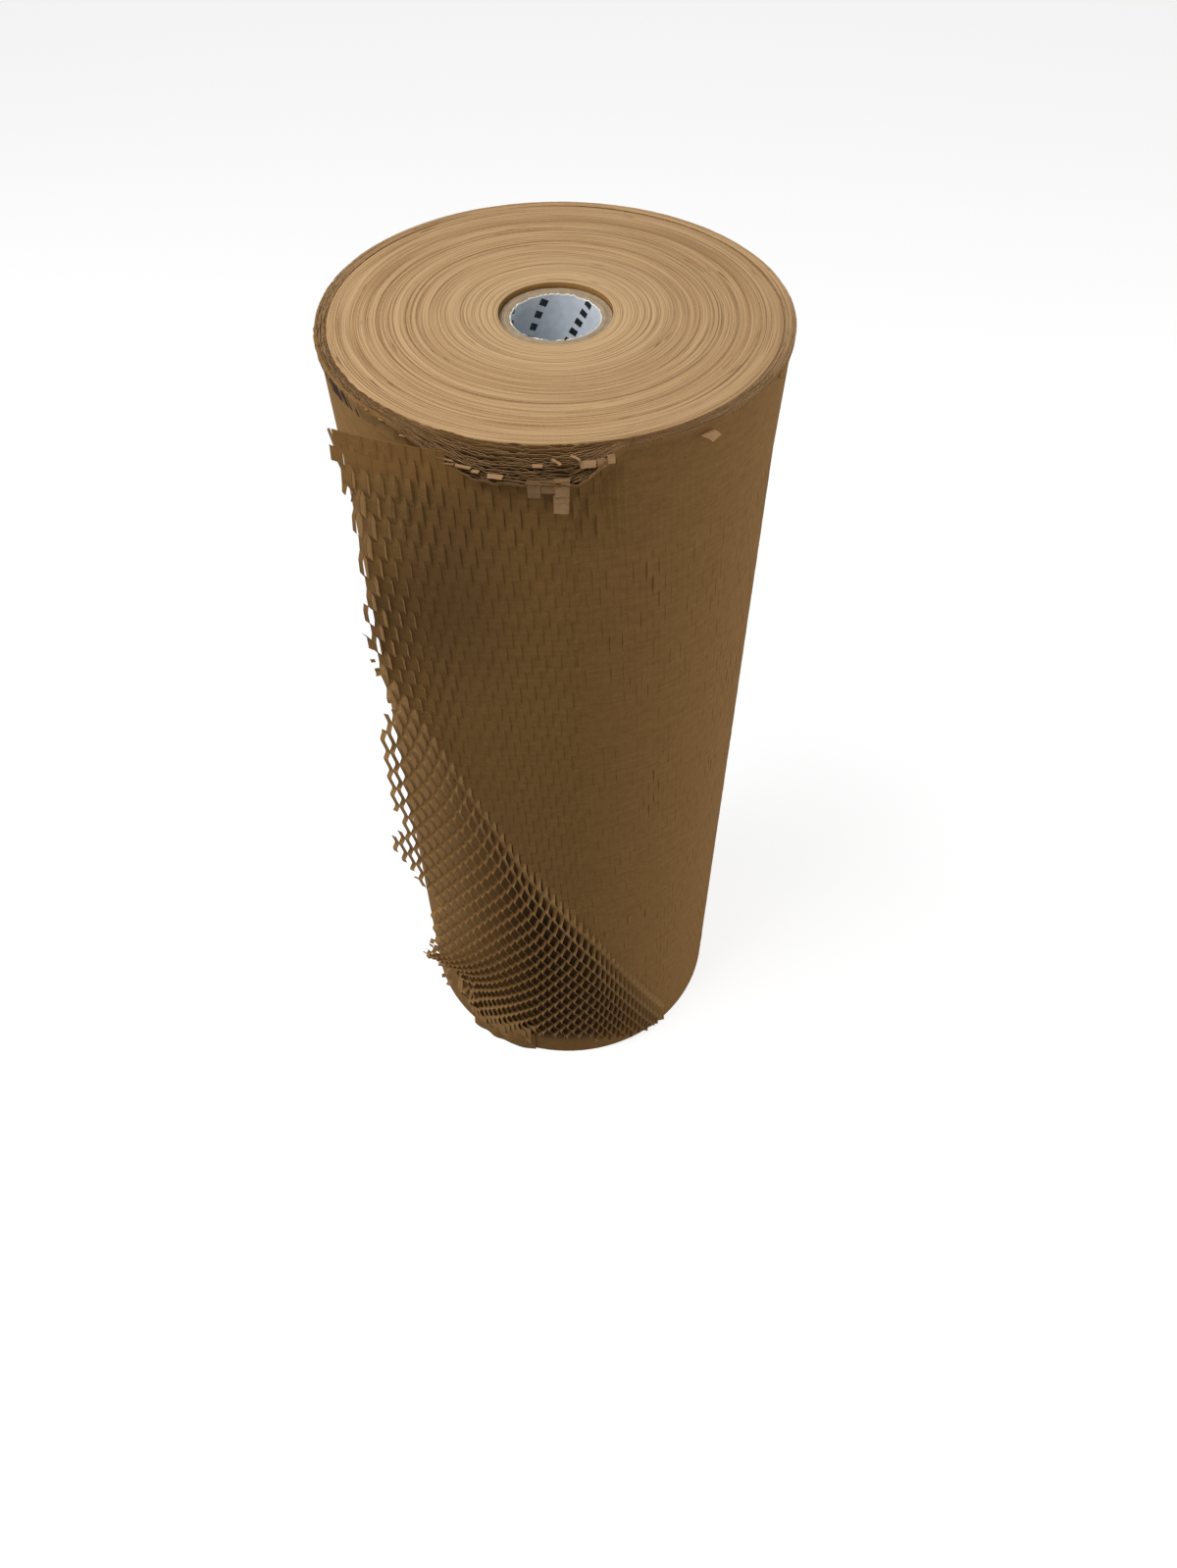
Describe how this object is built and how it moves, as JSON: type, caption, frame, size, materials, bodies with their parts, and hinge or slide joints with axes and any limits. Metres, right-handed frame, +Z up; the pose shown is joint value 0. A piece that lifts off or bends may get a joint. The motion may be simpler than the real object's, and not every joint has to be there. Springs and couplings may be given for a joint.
{
  "type": "honeycomb paper roll",
  "caption": "Roll of slit kraft packing paper on a greyboard tube, standing on end, with a torn outer turn pulled open to a honeycomb net.",
  "frame": {"origin": "on the roll's axis, at the floor that it stands on", "axes": "+Z up along the roll's axis, -Y towards the front, where the torn end is, +X to the right of it"},
  "size_m": [0.2054, 0.2088, 0.5],
  "materials": {
    "kraft_paper": "matt, fibrous",
    "greyboard": "matt, fibrous",
    "printed_ply": "smooth, printed in one dark ink"
  },
  "bodies": {
    "root": {"paper_web": "kraft_paper", "core_tube": "greyboard", "core_liner": "printed_ply"}
  },
  "joints": []
}
